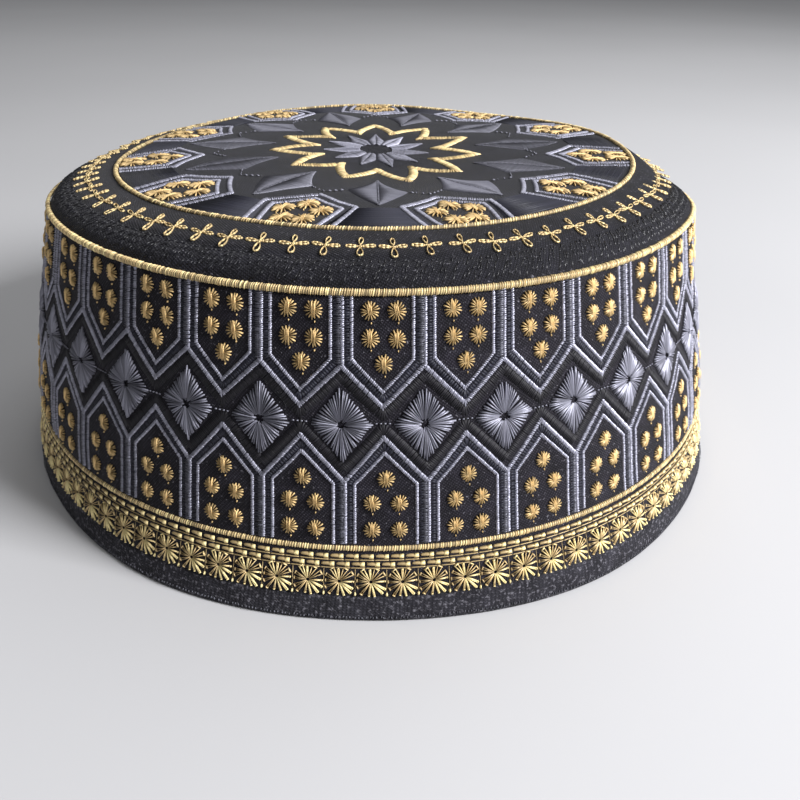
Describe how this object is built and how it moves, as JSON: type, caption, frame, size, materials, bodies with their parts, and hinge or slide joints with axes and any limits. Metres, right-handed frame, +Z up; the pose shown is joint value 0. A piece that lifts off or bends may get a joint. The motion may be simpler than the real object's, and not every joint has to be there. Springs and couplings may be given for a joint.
{
  "type": "embroidered kufi cap",
  "caption": "Round black cloth kufi cap with a low flat crown, embroidered in gold and silver thread, hollow and open below.",
  "frame": {"origin": "middle of the cap's opening, on the surface that the hem rests on", "axes": "+Z up through the crown, -Y to the front"},
  "size_m": [0.1844, 0.1904, 0.0716],
  "materials": {
    "hem_cloth": "black ribbed binding",
    "band_cloth": "black twill with a blue tint",
    "shoulder_cloth": "black cloth with black satin stitches",
    "crown_cloth": "black satin ground",
    "gold_thread": "satin stitched gold rayon thread"
  },
  "bodies": {
    "root": {"hem_binding": "hem_cloth", "side_band": "band_cloth", "border_cord": "gold_thread", "top_cord": "gold_thread", "crown_shoulder": "shoulder_cloth", "crown_cord": "gold_thread", "crown_disc": "crown_cloth"}
  },
  "joints": []
}
